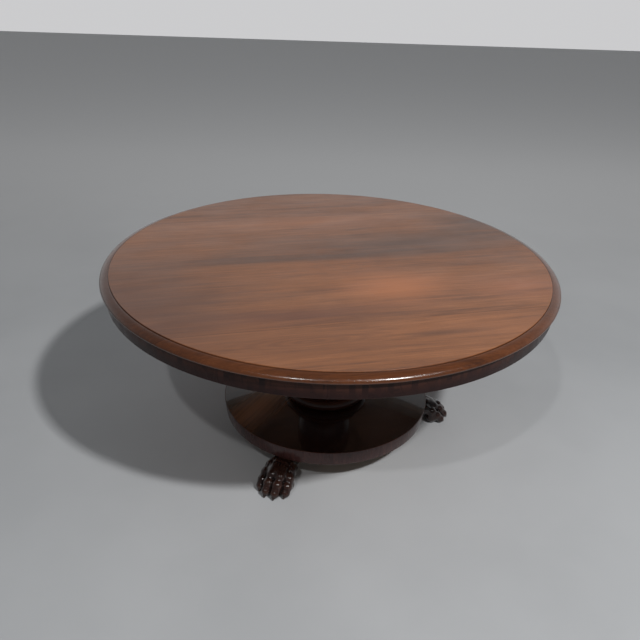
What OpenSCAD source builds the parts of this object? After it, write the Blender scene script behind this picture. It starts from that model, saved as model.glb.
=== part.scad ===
// Round mahogany pedestal table: a moulded circular top that tips on a pivot block,
// a turned column, a round veneered platform and three carved lion-paw feet.
// Millimetres, +Z up. The origin is on the floor, under the middle of the column.

/* [Table] */
// Radius of the top, over its moulded edge
top_r = 620; // [600:5:640]
// Height of the table, floor to the top surface
table_h = 555; // [545:5:570]
// Direction in which the grain of the top runs, anticlockwise from +X
grain_angle = 14; // [0:1:30]

/* [Top] */
// Thickness of the boards of the top
board_t = 22; // [22:1:24]
// Depth of the frieze that hangs under the rim
frieze_h = 38; // [36:1:39]
// Distance that the frieze is set in from the moulded edge
frieze_inset = 12; // [10:1:14]
// Width of the moulded edge, from the fine step to the nosing
moulding_w = 24; // [22:1:28]
// Depth of the fine step at the inside of the moulding
moulding_step = 2; // [1.5:0.5:2.5]

/* [Platform] */
// Radius of the platform at its upper edge
platform_r = 308; // [304:1:310]
// Height of the platform's upper face above the floor
platform_top = 116; // [114:1:118]
// Thickness of the platform
platform_t = 42; // [42:1:46]
// Distance that the platform's edge slopes in towards its lower side
platform_slope = 4; // [2:1:6]

/* [Column] */
// Radius of the bold ring at the foot of the column
base_ring_r = 125; // [120:1:132]
// Radius of the column at the widest part of its vase
vase_r = 84; // [76:1:90]
// Radius of the column's tenons
tenon_r = 32; // [28:1:36]

/* [Feet] */
// Distance from the middle of the table to the tips of the claws
paw_reach = 397; // [394:1:402]
// Direction of the first paw, anticlockwise from +X
paw_angle = 8; // [4:1:12]

/* [Hidden] */

$fn = 96;
cut = 1;                  // how far a cutting solid runs past a face
stop_gap = 0.4;           // air between parts that move against each other
running_gap = 0.06;       // radial clearance of a pin or bolt that turns or slides

// Colours
polished_mahogany = [0.36, 0.17, 0.10];
dark_mahogany = [0.20, 0.09, 0.07];
plain_mahogany = [0.42, 0.24, 0.15];
softwood = [0.72, 0.55, 0.36];
brass = [0.80, 0.62, 0.28];
iron = [0.30, 0.30, 0.31];

// Heights of the top
underside = table_h - board_t;                  // lower face of the boards
frieze_bottom = underside - frieze_h;
quirk_h = 4;              // fine step between the nosing and the frieze
quirk_w = 2;
nosing_r = (board_t - moulding_step - quirk_h) / 2;
nosing_z = underside + quirk_h + nosing_r;

// Frieze
frieze_r = top_r - frieze_inset;
veneer_t = 2;
frieze_core_w = 34;
frieze_count = 8;
frieze_arc = 360 / frieze_count;

// Joints between the boards of the top, measured across the grain
joint_y = [-0.62 * top_r, 0, 0.57 * top_r];

// Pivot block, bearers and pins
block_half_w = 150;
block_half_l = 190;
block_t = 45;
block_top = underside - stop_gap;
block_bottom = block_top - block_t;
pivot_z = underside - 20;
pivot_y = -block_half_l;
pin_r = 9;
pin_in_block = 45;
pin_in_bearer = 40;
bearer_w = 50;
bearer_h = 38;
bearer_half_l = 515;
bearer_taper = 60;
bearer_end_h = 18;
bearer_x = block_half_w + stop_gap + bearer_w / 2;
bearer_bottom = underside - bearer_h;
bearer_screw_y = [-440, -300, -110, 110, 260, 440];

// Wood screws
screw_r = 2.5;
screw_head_r = 5.5;
screw_slot_w = 1.2;
screw_slot_h = 1.4;
screw_pocket_r = 6.5;
screw_pocket_h = 6;
screw_bite = 12;          // how far a bearer's screw goes into the boards

// Catch: a brass bolt that slides into the end of the pivot block
catch_plate_t = 2;
catch_bolt_r = 5;
catch_bolt_z = underside - 14;
catch_bolt_tip = block_half_l + 2.5;
catch_bolt_l = 97;
catch_plate_y = [block_half_l + 7, block_half_l + 97];
catch_plate_half_w = 20;
catch_guide_y = [block_half_l + 11, block_half_l + 73];
catch_guide_l = 9;
catch_guide_half_w = 9;
catch_knob_y = block_half_l + 50;
knob_stem_r = 2.5;
knob_r = 8;
knob_drop = 20;
catch_screw_r = 1.6;
catch_screw_head_r = 3.4;
catch_screw_l = 14;
catch_slot_w = 0.8;
catch_slot_h = 0.9;
catch_screw_x = 14.5;
catch_screw_y = [block_half_l + 32, block_half_l + 63];
keeper_hole_r = 5.5;
keeper_half_w = 24;
keeper_half_h = 10;
keeper_pocket = 16;
keeper_screw_x = 17;

// Platform
platform_bottom = platform_top - platform_t;
platform_low_r = platform_r - platform_slope;
platform_joint_y = 102;
batten_half_l = 165;
batten_w = 50;
batten_h = 22;
batten_x = 100;
batten_screw_y = [-120, 0, 120];
batten_screw_l = batten_h + 14;

// Column
collar_h = 34;            // height of each separate turned ring
column_foot = platform_top;
column_neck_r = 50;
foot_ledge = 36;          // how far the ring at the foot of the vase stands out
foot_bead_r = 9;
foot_bead_z = 14;         // height of that ring's bead above the base ring
foot_slope = [[0, 5], [6, 20], [22, 24]];  // that ring's outline: in from the ledge, up from the base ring
foot_slope_h = 29;
neck_bead_r = 8;
vase_gap_low = 34;        // from the base ring up to the vase
vase_gap_high = 22;       // from the vase up to the top collar
vase_low_belly = 0.62;    // under 1 puts the widest part below the middle
vase_waist = 1.5;         // over 1 makes the two ends slimmer
spigot_r = 60;            // where the rings sit on the shaft
top_collar_r = 118;
top_collar_bead_r = 24;
top_collar_fillet_h = 10;
top_tenon_r = tenon_r - 4;
wedge_t = 3;
wedge_l = 30;

// Feet
paw_angles = [paw_angle, paw_angle + 120, paw_angle + 240];
heel_in = 236;            // inner end of a paw's heel, under the platform
heel_half_w = 27;
heel_bottom = 30;
paw_screw_x = [250, 284];
paw_screw_head = 10;      // depth of the pocket for a screw's head
paw_screw_bite = 30;
paw_screw_l = platform_bottom - heel_bottom - paw_screw_head + paw_screw_bite;
ball_x = paw_reach - 55;  // middle of the broad part of the paw
toe_side = [-37, -13, 13, 37];
toe_set_back = [25, 13, 13, 25];
toe_thick = [12, 13.5, 13.5, 12];
// Three knuckles of a toe: distance behind its tip, height, and shares of its side offset and thickness
toe_knuckles = [[40, 41, 0.7, 1], [17, 29, 0.93, 1.05], [0, 12, 1, 0.85]];
claw_r = 6.5;
claw_tip_r = 2.5;
claw_h = 17;
ankle_r = 32;
ball_r = 22;
cuff_r = 14;
facets = 20;              // roundness of the carved toes

// ---------- helpers ----------

module in_grain_frame() {
    rotate([0, 0, grain_angle]) children();
}

module ring(outer, inner, z0, z1) {
    difference() {
        translate([0, 0, z0]) cylinder(r = outer, h = z1 - z0);
        translate([0, 0, z0 - cut]) cylinder(r = inner, h = z1 - z0 + 2 * cut);
    }
}

// A countersunk screw that points up, with the face of its head at z = 0
module screw_up(shank_r, head_r, length) {
    difference() {
        union() {
            cylinder(r = shank_r, h = length);
            cylinder(r1 = head_r, r2 = shank_r, h = head_r - shank_r);
        }
        translate([-head_r - cut, -screw_slot_w / 2, -cut])
            cube([2 * (head_r + cut), screw_slot_w, screw_slot_h + cut]);
    }
}

// The hole that such a screw needs, with a pocket below its head
module screw_hole_up(shank_r, head_r, length, pocket_r, pocket_h) {
    cylinder(r = shank_r, h = length);
    cylinder(r1 = head_r, r2 = shank_r, h = head_r - shank_r);
    translate([0, 0, -pocket_h]) cylinder(r = pocket_r, h = pocket_h);
}

// ---------- top ----------

// The whole disc of the top, with its moulded edge
module top_disc() {
    step_r = top_r - moulding_w;
    rotate_extrude() {
        square_between([0, underside], [step_r, table_h]);
        square_between([0, underside + quirk_h], [top_r - nosing_r, table_h - moulding_step]);
        square_between([0, underside], [frieze_r + quirk_w, nosing_z]);
        translate([top_r - nosing_r, nosing_z]) circle(r = nosing_r);
    }
}

module square_between(low, high) {
    translate(low) square(high - low);
}

module at_bearer_screws() {
    for (side = [-1, 1], y = bearer_screw_y)
        translate([side * bearer_x, y, bearer_bottom + screw_pocket_h]) children();
}

module at_catch_screws() {
    for (side = [-1, 1], y = catch_screw_y)
        translate([side * catch_screw_x, y, underside - catch_plate_t]) children();
}

module bearer_screw_shape() {
    screw_up(screw_r, screw_head_r, bearer_h - screw_pocket_h + screw_bite);
}

module top_board(y0, y1) {
    color(polished_mahogany) in_grain_frame() difference() {
        intersection() {
            top_disc();
            translate([-top_r, y0, underside - cut])
                cube([2 * top_r, y1 - y0, board_t + 2 * cut]);
        }
        at_bearer_screws()
            cylinder(r = screw_r, h = bearer_h - screw_pocket_h + screw_bite);
        at_catch_screws() cylinder(r = catch_screw_r, h = catch_screw_l);
    }
}

module top_board_front() { top_board(-top_r, joint_y[0]); }
module top_board_mid_front() { top_board(joint_y[0], joint_y[1]); }
module top_board_mid_back() { top_board(joint_y[1], joint_y[2]); }
module top_board_back() { top_board(joint_y[2], top_r); }

module frieze_segment(number) {
    color(softwood) in_grain_frame() rotate([0, 0, (number - 1) * frieze_arc])
        rotate_extrude(angle = frieze_arc)
            square_between([frieze_r - frieze_core_w, frieze_bottom],
                           [frieze_r - veneer_t, underside]);
}

module frieze_veneer() {
    color(dark_mahogany) ring(frieze_r, frieze_r - veneer_t, frieze_bottom, underside);
}

// A bearer lies across the grain, thinned towards its two ends
module bearer(side) {
    color(plain_mahogany) in_grain_frame() difference() {
        translate([side * bearer_x - bearer_w / 2, 0, 0]) rotate([90, 0, 90])
            linear_extrude(height = bearer_w) polygon([
                [-bearer_half_l, underside],
                [-bearer_half_l, underside - bearer_end_h],
                [-bearer_half_l + bearer_taper, bearer_bottom],
                [bearer_half_l - bearer_taper, bearer_bottom],
                [bearer_half_l, underside - bearer_end_h],
                [bearer_half_l, underside]
            ]);
        at_bearer_screws()
            screw_hole_up(screw_r, screw_head_r, bearer_h, screw_pocket_r, screw_pocket_h + cut);
        pin_shape(side, pin_r + running_gap, 0, pin_in_bearer + 2);
    }
}

module bearer_left() { bearer(-1); }
module bearer_right() { bearer(1); }

module bearer_screws() {
    color(iron) in_grain_frame() at_bearer_screws() bearer_screw_shape();
}

// ---------- pivot ----------

// A round pin or bore at the pivot, from inside the block's side to past it
module pin_shape(side, r, inward, outward) {
    start = side > 0 ? block_half_w - inward : -block_half_w - outward;
    translate([start, pivot_y, pivot_z]) rotate([0, 90, 0])
        cylinder(r = r, h = inward + outward);
}

module pivot_block() {
    color(plain_mahogany) in_grain_frame() difference() {
        union() {
            translate([-block_half_w, -block_half_l, block_bottom])
                cube([2 * block_half_w, 2 * block_half_l, block_t]);
            translate([-block_half_w, pivot_y, pivot_z]) rotate([0, 90, 0])
                cylinder(r = block_top - pivot_z, h = 2 * block_half_w);
        }
        for (side = [-1, 1]) pin_shape(side, pin_r, pin_in_block, cut);
        translate([0, 0, block_bottom - cut]) cylinder(r = top_tenon_r, h = block_t + 2 * cut);
        keeper_recess();
    }
}

module keeper_recess() {
    translate([-keeper_half_w, block_half_l - catch_plate_t, catch_bolt_z - keeper_half_h])
        cube([2 * keeper_half_w, catch_plate_t + cut, 2 * keeper_half_h]);
    translate([0, block_half_l - keeper_pocket, catch_bolt_z]) rotate([-90, 0, 0])
        cylinder(r = keeper_hole_r, h = keeper_pocket);
    at_keeper_screws() cylinder(r = catch_screw_r, h = catch_screw_l);
}

module at_keeper_screws() {
    for (side = [-1, 1])
        translate([side * keeper_screw_x, block_half_l, catch_bolt_z]) rotate([90, 0, 0])
            children();
}

module pivot_pin(side) {
    color(iron) in_grain_frame() pin_shape(side, pin_r, pin_in_block, pin_in_bearer);
}

module pivot_pin_left() { pivot_pin(-1); }
module pivot_pin_right() { pivot_pin(1); }

// ---------- catch ----------

module catch_screw_hole() {
    translate([0, 0, -cut]) cylinder(r = catch_screw_r, h = catch_screw_l);
    cylinder(r1 = catch_screw_head_r, r2 = catch_screw_r, h = catch_screw_head_r - catch_screw_r);
}

module keeper_plate() {
    color(brass) in_grain_frame() difference() {
        translate([-keeper_half_w, block_half_l - catch_plate_t, catch_bolt_z - keeper_half_h])
            cube([2 * keeper_half_w, catch_plate_t, 2 * keeper_half_h]);
        translate([0, block_half_l - catch_plate_t - cut, catch_bolt_z]) rotate([-90, 0, 0])
            cylinder(r = keeper_hole_r, h = catch_plate_t + 2 * cut);
        at_keeper_screws() catch_screw_hole();
    }
}

module catch_screw_shape() {
    difference() {
        union() {
            cylinder(r = catch_screw_r, h = catch_screw_l);
            cylinder(r1 = catch_screw_head_r, r2 = catch_screw_r,
                     h = catch_screw_head_r - catch_screw_r);
        }
        translate([-catch_screw_head_r - cut, -catch_slot_w / 2, -cut])
            cube([2 * (catch_screw_head_r + cut), catch_slot_w, cut + catch_slot_h]);
    }
}

module keeper_screws() {
    color(brass) in_grain_frame() at_keeper_screws() catch_screw_shape();
}

// A plate under the boards with two eyes that guide the bolt
module catch_plate() {
    color(brass) in_grain_frame() difference() {
        union() {
            translate([-catch_plate_half_w, catch_plate_y[0], underside - catch_plate_t])
                cube([2 * catch_plate_half_w, catch_plate_y[1] - catch_plate_y[0], catch_plate_t]);
            for (y = catch_guide_y) catch_guide(y);
        }
        catch_bolt_rod(catch_bolt_r + running_gap, block_half_l, catch_plate_y[1] + cut);
        at_catch_screws() catch_screw_hole();
    }
}

module catch_guide(y) {
    translate([0, y, 0]) rotate([-90, 0, 0]) linear_extrude(height = catch_guide_l) {
        translate([0, -catch_bolt_z]) circle(r = catch_guide_half_w);
        translate([-catch_guide_half_w, -underside])
            square([2 * catch_guide_half_w, underside - catch_bolt_z]);
    }
}

module catch_bolt_rod(r, y0, y1) {
    translate([0, y0, catch_bolt_z]) rotate([-90, 0, 0]) cylinder(r = r, h = y1 - y0);
}

module catch_screws() {
    color(brass) in_grain_frame() at_catch_screws() catch_screw_shape();
}

module catch_bolt() {
    color(brass) in_grain_frame() difference() {
        catch_bolt_rod(catch_bolt_r, catch_bolt_tip, catch_bolt_tip + catch_bolt_l);
        knob_stem();
    }
}

module knob_stem() {
    translate([0, catch_knob_y, catch_bolt_z - knob_drop])
        cylinder(r = knob_stem_r, h = knob_drop);
}

module catch_knob() {
    color(brass) in_grain_frame() {
        knob_stem();
        translate([0, catch_knob_y, catch_bolt_z - knob_drop]) sphere(r = knob_r);
    }
}

// ---------- column ----------

// Outline of the shaft between its two rings: a ring, a vase and a neck
function vase_profile(z0, z1) = [
    for (t = [0 : 0.05 : 1])
        let (swell = pow(sin(180 * pow(t, vase_low_belly)), vase_waist))
        [column_neck_r + (vase_r - column_neck_r) * swell, z0 + (z1 - z0) * t]
];

module column_profile() {
    z_ring = column_foot + collar_h;
    z_vase = z_ring + vase_gap_low;
    z_neck = block_bottom - collar_h - vase_gap_high;
    ledge_r = spigot_r + foot_ledge;
    polygon(concat(
        [[0, platform_bottom], [tenon_r, platform_bottom], [tenon_r, column_foot],
         [spigot_r, column_foot], [spigot_r, z_ring], [ledge_r, z_ring]],
        [for (point = foot_slope) [ledge_r - point[0], z_ring + point[1]]],
        [[spigot_r, z_ring + foot_slope_h]],
        vase_profile(z_vase, z_neck),
        [[spigot_r, z_neck + neck_bead_r / 2], [spigot_r, z_neck + neck_bead_r * 3 / 2],
         [spigot_r, block_bottom], [top_tenon_r, block_bottom],
         [top_tenon_r, block_top], [0, block_top]]
    ));
    translate([ledge_r, z_ring + foot_bead_z]) circle(r = foot_bead_r);
    translate([spigot_r, z_neck + neck_bead_r]) circle(r = neck_bead_r);
}

module column_shaft() {
    color(dark_mahogany) in_grain_frame() difference() {
        rotate_extrude() column_profile();
        wedge(platform_bottom, 1);
        wedge(block_top, -1);
    }
}

// A thin wedge driven into the end of a tenon; direction is +1 for one driven upwards
module wedge(z, direction) {
    half = top_tenon_r - 2;
    translate([0, half, z]) rotate([90, 0, 0]) linear_extrude(height = 2 * half) polygon([
        [-wedge_t / 2, 0], [wedge_t / 2, 0], [0.5, direction * wedge_l], [-0.5, direction * wedge_l]
    ]);
}

module column_foot_wedge() { color(softwood) in_grain_frame() wedge(platform_bottom, 1); }
module column_top_wedge() { color(softwood) in_grain_frame() wedge(block_top, -1); }

// The bold half-round ring that hides the joint between column and platform
module column_base_ring() {
    bead_r = collar_h / 2;
    color(dark_mahogany) rotate_extrude() {
        square_between([spigot_r, column_foot], [base_ring_r - bead_r, column_foot + collar_h]);
        translate([base_ring_r - bead_r, column_foot + bead_r]) circle(r = bead_r);
    }
}

// A turned ring under the block: a flat fillet above a quarter-round
module column_top_collar() {
    bead_r = top_collar_bead_r;
    fillet_z = block_bottom - top_collar_fillet_h;
    color(dark_mahogany) rotate_extrude() difference() {
        union() {
            square_between([spigot_r, block_bottom - collar_h],
                           [top_collar_r - bead_r, block_bottom]);
            square_between([spigot_r, fillet_z], [top_collar_r, block_bottom]);
            translate([top_collar_r - bead_r, fillet_z]) circle(r = bead_r);
        }
        square_between([0, block_bottom], [top_collar_r + cut, block_top + cut]);
    }
}

// ---------- platform ----------

module platform_cone(inset, z0, z1) {
    r_at_bottom = platform_low_r - inset;
    slope = platform_slope / platform_t;
    translate([0, 0, z0])
        cylinder(r1 = r_at_bottom + (z0 - platform_bottom) * slope,
                 r2 = r_at_bottom + (z1 - platform_bottom) * slope, h = z1 - z0);
}

module tenon_hole() {
    translate([0, 0, platform_bottom - cut]) cylinder(r = tenon_r, h = platform_t + 2 * cut);
}

module platform_board(y0, y1) {
    color(softwood) in_grain_frame() difference() {
        intersection() {
            platform_cone(veneer_t, platform_bottom, platform_top - veneer_t);
            translate([-platform_r, y0, 0]) cube([2 * platform_r, y1 - y0, table_h]);
        }
        tenon_hole();
        rotate([0, 0, -grain_angle]) at_paw_screws() cylinder(r = screw_r, h = paw_screw_l);
        at_batten_screws() cylinder(r = screw_r, h = batten_screw_l);
    }
}

module platform_board_front() { platform_board(-platform_r, -platform_joint_y); }
module platform_board_middle() { platform_board(-platform_joint_y, platform_joint_y); }
module platform_board_back() { platform_board(platform_joint_y, platform_r); }

module platform_face_veneer() {
    color(polished_mahogany) difference() {
        platform_cone(veneer_t, platform_top - veneer_t, platform_top);
        tenon_hole();
    }
}

module platform_edge_veneer() {
    color(dark_mahogany) difference() {
        platform_cone(0, platform_bottom, platform_top);
        platform_cone(veneer_t, platform_bottom, platform_top);
    }
}

module at_batten_screws() {
    for (side = [-1, 1], y = batten_screw_y)
        translate([side * batten_x, y, platform_bottom - batten_h]) children();
}

module platform_batten(side) {
    color(plain_mahogany) in_grain_frame() difference() {
        translate([side * batten_x - batten_w / 2, -batten_half_l, platform_bottom - batten_h])
            cube([batten_w, 2 * batten_half_l, batten_h]);
        at_batten_screws() screw_hole_up(screw_r, screw_head_r, batten_h + cut, screw_head_r, cut);
    }
}

module platform_batten_left() { platform_batten(-1); }
module platform_batten_right() { platform_batten(1); }

module batten_screws() {
    color(iron) in_grain_frame() at_batten_screws() screw_up(screw_r, screw_head_r, batten_screw_l);
}

// ---------- feet ----------

module bead(point, r) {
    translate(point) sphere(r = r, $fn = facets);
}

// A toe runs from the broad part of the paw down to a rounded tip
module toe(i) {
    tip_x = paw_reach - toe_set_back[i];
    hull() for (knuckle = toe_knuckles)
        bead([tip_x - knuckle[0], toe_side[i] * knuckle[2], knuckle[1]], toe_thick[i] * knuckle[3]);
    claw(i);
}

// A hooked nail that comes out of the toe and touches the floor
module claw(i) {
    translate([paw_reach - toe_set_back[i] + toe_set_back[1] - claw_r, toe_side[i], 0])
        cylinder(r1 = claw_r, r2 = claw_tip_r, h = claw_h);
}

module at_paw(angle) {
    rotate([0, 0, angle]) children();
}

module paw_body() {
    ankle_x = platform_low_r - 4;
    hull() {
        bead([ankle_x, 0, platform_bottom - ankle_r - cut], ankle_r);
        for (side = [-1, 1]) bead([ball_x, side * ball_r, ball_r], ball_r);
    }
    hull() for (side = [-1, 1]) {
        bead([ankle_x + 8, side * 16, platform_bottom - 16], cuff_r);
        bead([ankle_x + cuff_r, side * 12, platform_bottom - 12], 12);
    }
    translate([heel_in, -heel_half_w, heel_bottom])
        cube([ankle_x - heel_in, 2 * heel_half_w, platform_bottom - heel_bottom]);
}

module paw(angle) {
    color(dark_mahogany) at_paw(angle) difference() {
        intersection() {
            union() {
                paw_body();
                for (i = [0 : 3]) toe(i);
            }
            translate([heel_in, -paw_reach / 2, 0]) cube([paw_reach, paw_reach, platform_bottom]);
        }
        for (x = paw_screw_x) translate([x, 0, heel_bottom + paw_screw_head])
            screw_hole_up(screw_r, screw_head_r, paw_screw_l, screw_pocket_r,
                          heel_bottom + paw_screw_head + cut);
    }
}

module at_paw_screws() {
    for (angle = paw_angles, x = paw_screw_x)
        at_paw(angle) translate([x, 0, heel_bottom + paw_screw_head]) children();
}

module paw_right() { paw(paw_angles[0]); }
module paw_rear() { paw(paw_angles[1]); }
module paw_front() { paw(paw_angles[2]); }

module paw_screws() {
    color(iron) at_paw_screws() screw_up(screw_r, screw_head_r, paw_screw_l);
}

// ---------- assembly ----------

top_board_front();
top_board_mid_front();
top_board_mid_back();
top_board_back();
frieze_segment(1);  // frieze_segment_1
frieze_segment(2);  // frieze_segment_2
frieze_segment(3);  // frieze_segment_3
frieze_segment(4);  // frieze_segment_4
frieze_segment(5);  // frieze_segment_5
frieze_segment(6);  // frieze_segment_6
frieze_segment(7);  // frieze_segment_7
frieze_segment(8);  // frieze_segment_8
frieze_veneer();
bearer_left();
bearer_right();
bearer_screws();
catch_plate();
catch_screws();
catch_bolt();
catch_knob();
keeper_plate();
keeper_screws();
pivot_block();
pivot_pin_left();
pivot_pin_right();
column_shaft();
column_base_ring();
column_top_collar();
column_foot_wedge();
column_top_wedge();
platform_board_front();
platform_board_middle();
platform_board_back();
platform_face_veneer();
platform_edge_veneer();
platform_batten_left();
platform_batten_right();
batten_screws();
paw_right();
paw_rear();
paw_front();
paw_screws();
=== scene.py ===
"""Looks of the round mahogany pedestal table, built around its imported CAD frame. Metres, +Z up."""
import math

import bmesh
import bpy
import numpy as np
from mathutils import Matrix, Vector


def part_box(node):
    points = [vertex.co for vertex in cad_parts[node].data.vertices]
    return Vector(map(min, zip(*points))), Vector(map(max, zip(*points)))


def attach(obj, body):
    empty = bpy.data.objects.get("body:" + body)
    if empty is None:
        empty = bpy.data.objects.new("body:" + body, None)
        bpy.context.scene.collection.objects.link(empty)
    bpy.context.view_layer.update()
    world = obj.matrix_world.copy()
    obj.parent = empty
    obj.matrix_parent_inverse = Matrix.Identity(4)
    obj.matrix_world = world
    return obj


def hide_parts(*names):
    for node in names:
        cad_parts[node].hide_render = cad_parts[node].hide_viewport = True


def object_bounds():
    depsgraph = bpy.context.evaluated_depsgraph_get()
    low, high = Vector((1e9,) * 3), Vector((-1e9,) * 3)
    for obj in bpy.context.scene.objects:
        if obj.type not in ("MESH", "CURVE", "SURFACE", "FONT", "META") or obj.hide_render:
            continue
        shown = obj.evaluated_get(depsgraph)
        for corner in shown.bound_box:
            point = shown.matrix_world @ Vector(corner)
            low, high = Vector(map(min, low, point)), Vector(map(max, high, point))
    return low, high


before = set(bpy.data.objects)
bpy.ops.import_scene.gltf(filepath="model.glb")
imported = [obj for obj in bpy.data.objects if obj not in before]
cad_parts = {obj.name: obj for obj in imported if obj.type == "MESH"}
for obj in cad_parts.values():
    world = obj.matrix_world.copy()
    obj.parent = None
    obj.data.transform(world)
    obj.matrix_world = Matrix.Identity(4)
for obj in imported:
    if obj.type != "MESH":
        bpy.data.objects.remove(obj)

MM = 0.001
cad_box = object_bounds()

# ---------- sizes, taken from the frame ----------

table_h = cad_box[1].z
top_r = min(cad_box[1].x, cad_box[1].y, -cad_box[0].x, -cad_box[0].y)
board_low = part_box("top_board_back")[0].z
frieze_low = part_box("frieze_veneer")[0].z
frieze_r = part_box("frieze_veneer")[1].x
platform_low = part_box("platform_edge_veneer")[0].z
platform_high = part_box("platform_edge_veneer")[1].z
platform_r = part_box("platform_edge_veneer")[1].x
base_ring_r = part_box("column_base_ring")[1].x
base_ring_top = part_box("column_base_ring")[1].z
collar_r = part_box("column_top_collar")[1].x
collar_low, collar_high = (corner.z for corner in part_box("column_top_collar"))
shaft_low, shaft_high = (corner.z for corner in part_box("column_shaft"))

grain = math.radians(14)                          # the top's grain, anticlockwise from +X
platform_grain = math.radians(62)                 # the platform's face veneer
joint_lines = (-0.62 * top_r, 0.0, 0.57 * top_r)  # board joints, across the grain
moulding_w = 24 * MM
moulding_step = 2 * MM
nose_under_r = 3.5 * MM                           # rounding below the moulding's widest point
quirk_h = 4 * MM                                  # fine step between the nosing and the frieze
quirk_w = 2 * MM
platform_slope = 4 * MM
veneer_t = 2 * MM
spigot_r = 60 * MM
tenon_r = 32 * MM
top_tenon_r = 28 * MM
paw_directions = {"paw_right": 8, "paw_rear": 128, "paw_front": 248}
smooth_angle = math.radians(32)
carved_smooth_angle = math.radians(70)
same_spot = 0.001 * MM                            # points this close are one point
seam_angle = math.radians(90)                     # where turned work closes on itself: at the back


# ---------- camera ----------

def make_camera():
    camera = bpy.data.objects.new("camera", bpy.data.cameras.new("camera"))
    bpy.context.collection.objects.link(camera)
    camera.data.sensor_width = 36
    camera.data.lens = 38.25
    camera.data.clip_end = 60
    tilt_down, roll = math.radians(27.61), math.radians(1.81)
    turn = Matrix.Rotation(math.pi / 2 - tilt_down, 3, "X") @ Matrix.Rotation(roll, 3, "Z")
    place = Vector((-0.038 * top_r, -2.8415 * top_r, table_h + 1.170 * top_r))
    camera.matrix_world = Matrix.Translation(place) @ turn.to_4x4()
    bpy.context.scene.camera = camera


make_camera()


# ---------- mesh helpers ----------

def link_mesh(name, mesh):
    piece = bpy.data.objects.new(name, mesh)
    bpy.context.collection.objects.link(piece)
    return piece


def finish_shading(mesh, angle=smooth_angle):
    mesh.shade_smooth()
    mesh.set_sharp_from_angle(angle=angle)


def arc(centre, radius, start, end, steps):
    """Points on an arc in an outline, angles in degrees from outwards towards up."""
    angles = np.radians(np.linspace(start, end, steps))
    return [(centre[0] + radius * math.cos(a), centre[1] + radius * math.sin(a)) for a in angles]


def corner(point, radius, start, end, steps):
    """A small rounding in an outline that has its corner at point."""
    middle = math.radians((start + end) / 2)
    reach = radius * math.sqrt(2)
    centre = (point[0] - reach * math.cos(middle), point[1] - reach * math.sin(middle))
    return arc(centre, radius, start, end, steps)


def edge_values(outline):
    """How sharply each point of a clockwise outline sticks out (towards 1) or lies in a hollow (-1)."""
    points = np.array(outline)
    before = points - np.roll(points, 1, axis=0)
    after = np.roll(points, -1, axis=0) - points
    length = 0.5 * (np.linalg.norm(before, axis=1) + np.linalg.norm(after, axis=1)) + 0.001 * MM
    cross = before[:, 0] * after[:, 1] - before[:, 1] * after[:, 0]
    turn = np.arctan2(cross, (before * after).sum(axis=1))
    longest = 4 * MM             # a corner's turn is spread over no more than this
    sharp_curvature = 1 / (2 * MM)
    return np.clip(-turn / np.minimum(length, longest) / sharp_curvature, -1, 1)


# ---------- node helpers ----------

def feed(tree, node, inputs):
    """Sets a node's inputs, by name or number, to plain values or to other nodes' outputs."""
    for key, value in inputs.items():
        if isinstance(value, bpy.types.NodeSocket):
            tree.links.new(value, node.inputs[key])
        else:
            node.inputs[key].default_value = value


def put(tree, kind, inputs=None, **settings):
    """Adds a node with its settings and inputs."""
    node = tree.nodes.new(kind)
    for key, value in settings.items():
        setattr(node, key, value)
    feed(tree, node, inputs or {})
    return node


def maths(tree, operation, a, b=0.0, clamp=False):
    return put(tree, "ShaderNodeMath", {0: a, 1: b}, operation=operation, use_clamp=clamp).outputs[0]


def plus(tree, a, b, clamp=False):
    return maths(tree, "ADD", a, b, clamp)


def minus(tree, a, b):
    return maths(tree, "SUBTRACT", a, b)


def times(tree, a, b):
    return maths(tree, "MULTIPLY", a, b)


def over(tree, a, b):
    return maths(tree, "DIVIDE", a, b)


def vector_maths(tree, operation, a, b):
    return put(tree, "ShaderNodeVectorMath", {0: a, 1: b}, operation=operation).outputs[0]


def stretch(tree, vector, factors):
    return vector_maths(tree, "MULTIPLY", vector, factors)


def shift(tree, vector, offset):
    return vector_maths(tree, "ADD", vector, offset)


def vector_length(tree, vector):
    return put(tree, "ShaderNodeVectorMath", {0: vector}, operation="LENGTH").outputs["Value"]


def split(tree, vector):
    return put(tree, "ShaderNodeSeparateXYZ", {0: vector}).outputs


def combine(tree, parts):
    """A vector from some of its three parts, such as {2: height}."""
    return put(tree, "ShaderNodeCombineXYZ", parts).outputs[0]


def noise(tree, vector, scale, detail, roughness=0.5):
    inputs = {"Vector": vector, "Scale": scale, "Detail": detail, "Roughness": roughness}
    return put(tree, "ShaderNodeTexNoise", inputs).outputs[0]


def ramp(tree, value, low, high, to_low=0.0, to_high=1.0):
    """Smooth step of a value from one range to another."""
    inputs = {"Value": value, "From Min": low, "From Max": high, "To Min": to_low, "To Max": to_high}
    return put(tree, "ShaderNodeMapRange", inputs, interpolation_type="SMOOTHSTEP").outputs[0]


def blend(tree, factor, a, b, mode="MIX"):
    node = put(tree, "ShaderNodeMix", {0: factor, 6: a, 7: b}, data_type="RGBA", blend_type=mode)
    return node.outputs[2]


def new_group(name, tree_kind, inputs, outputs):
    """A node group with named sockets, whose inputs every use of it sets: names to socket kinds."""
    tree = bpy.data.node_groups.new(name, tree_kind)
    for in_out, sockets in (("INPUT", inputs), ("OUTPUT", outputs)):
        for label, kind in sockets.items():
            tree.interface.new_socket(label, in_out=in_out, socket_type="NodeSocket" + kind)
    return tree, tree.nodes.new("NodeGroupInput").outputs, tree.nodes.new("NodeGroupOutput")


def shared_effect(name, inputs, outputs):
    return new_group(name, "ShaderNodeTree", inputs, outputs)


def place_group(tree, shared, inputs):
    return put(tree, "ShaderNodeGroup", inputs, node_tree=shared).outputs


# ---------- shared effects ----------

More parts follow.
